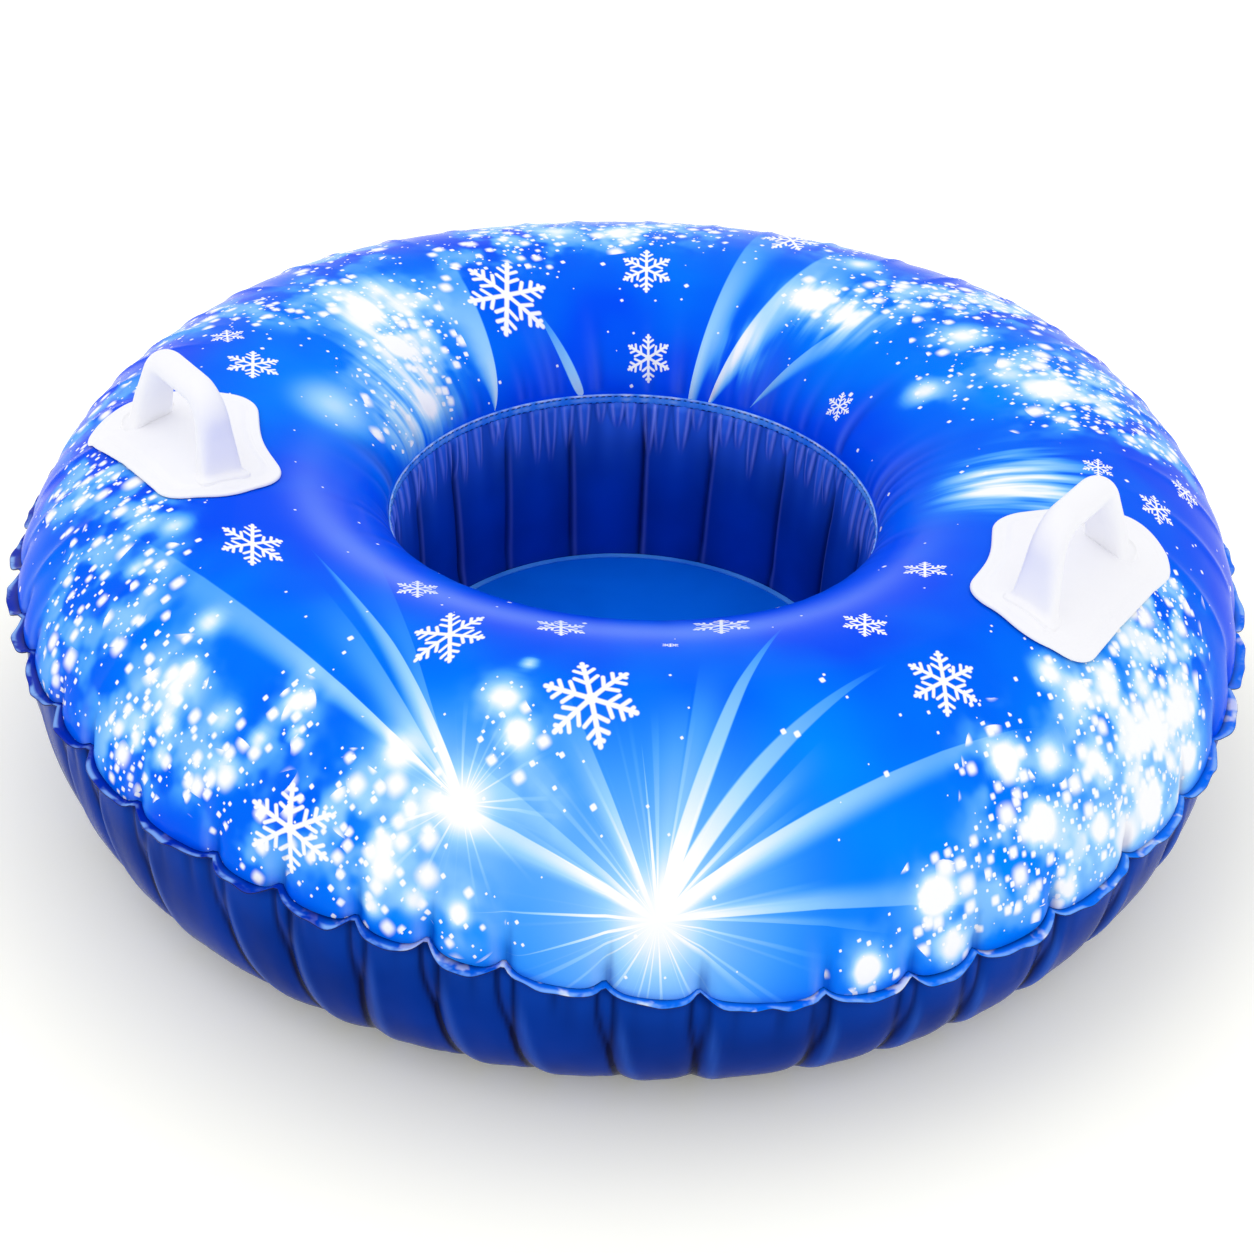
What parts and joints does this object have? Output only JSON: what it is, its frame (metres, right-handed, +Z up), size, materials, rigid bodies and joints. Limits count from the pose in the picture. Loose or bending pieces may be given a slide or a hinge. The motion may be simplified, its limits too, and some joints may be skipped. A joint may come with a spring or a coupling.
{
  "type": "snow tube",
  "caption": "Inflatable vinyl snow tube: pleated ring with a closed seat well, welded flange seam, moulded hand loops and a plug valve.",
  "frame": {"origin": "centre of the footprint, on the ground", "axes": "+Z up through the seat well, -Y to the front, where both handles are nearer, +X to the rider's right-hand handle as seen from the front"},
  "size_m": [1.117, 1.117, 0.4025],
  "materials": {
    "printed_vinyl": "glossy blue vinyl with a printed white snowflake and sparkle pattern",
    "navy_vinyl": "satin navy vinyl",
    "wall_vinyl": "satin navy vinyl",
    "floor_vinyl": "satin blue vinyl",
    "seam_vinyl": "glossy welded vinyl",
    "handle_vinyl": "white moulded soft vinyl, satin",
    "valve_plastic": "pale moulded soft vinyl"
  },
  "bodies": {
    "tube": {"upper_skin": "printed_vinyl", "lower_skin": "navy_vinyl", "inner_wall": "wall_vinyl", "floor_panel": "floor_vinyl", "outer_seam": "seam_vinyl", "inner_seam": "seam_vinyl", "floor_seam": "seam_vinyl", "left_handle": "handle_vinyl", "right_handle": "handle_vinyl", "valve_base": "valve_plastic"},
    "stopper": {"valve_stopper": "valve_plastic"},
    "cap": {"valve_cap": "valve_plastic"},
    "flap": {"valve_flap": "valve_plastic"}
  },
  "joints": [
    {"name": "stopper_hinge", "type": "hinge", "parent": "tube", "child": "stopper", "pos_m": [-0.03489, 0.53238, 0.09825], "axis": [0.9979, 0.0654, 0], "range_deg": [0, 100]},
    {"name": "cap_hinge", "type": "hinge", "parent": "stopper", "child": "cap", "pos_m": [-0.03495, 0.53322, 0.09057], "axis": [0.9979, 0.0654, 0], "range_deg": [0, 100]},
    {"name": "flap_hinge", "type": "hinge", "parent": "stopper", "child": "flap", "pos_m": [-0.03437, 0.5244, 0.08849], "axis": [-0.9979, -0.0654, 0], "range_deg": [0, 35]}
  ]
}
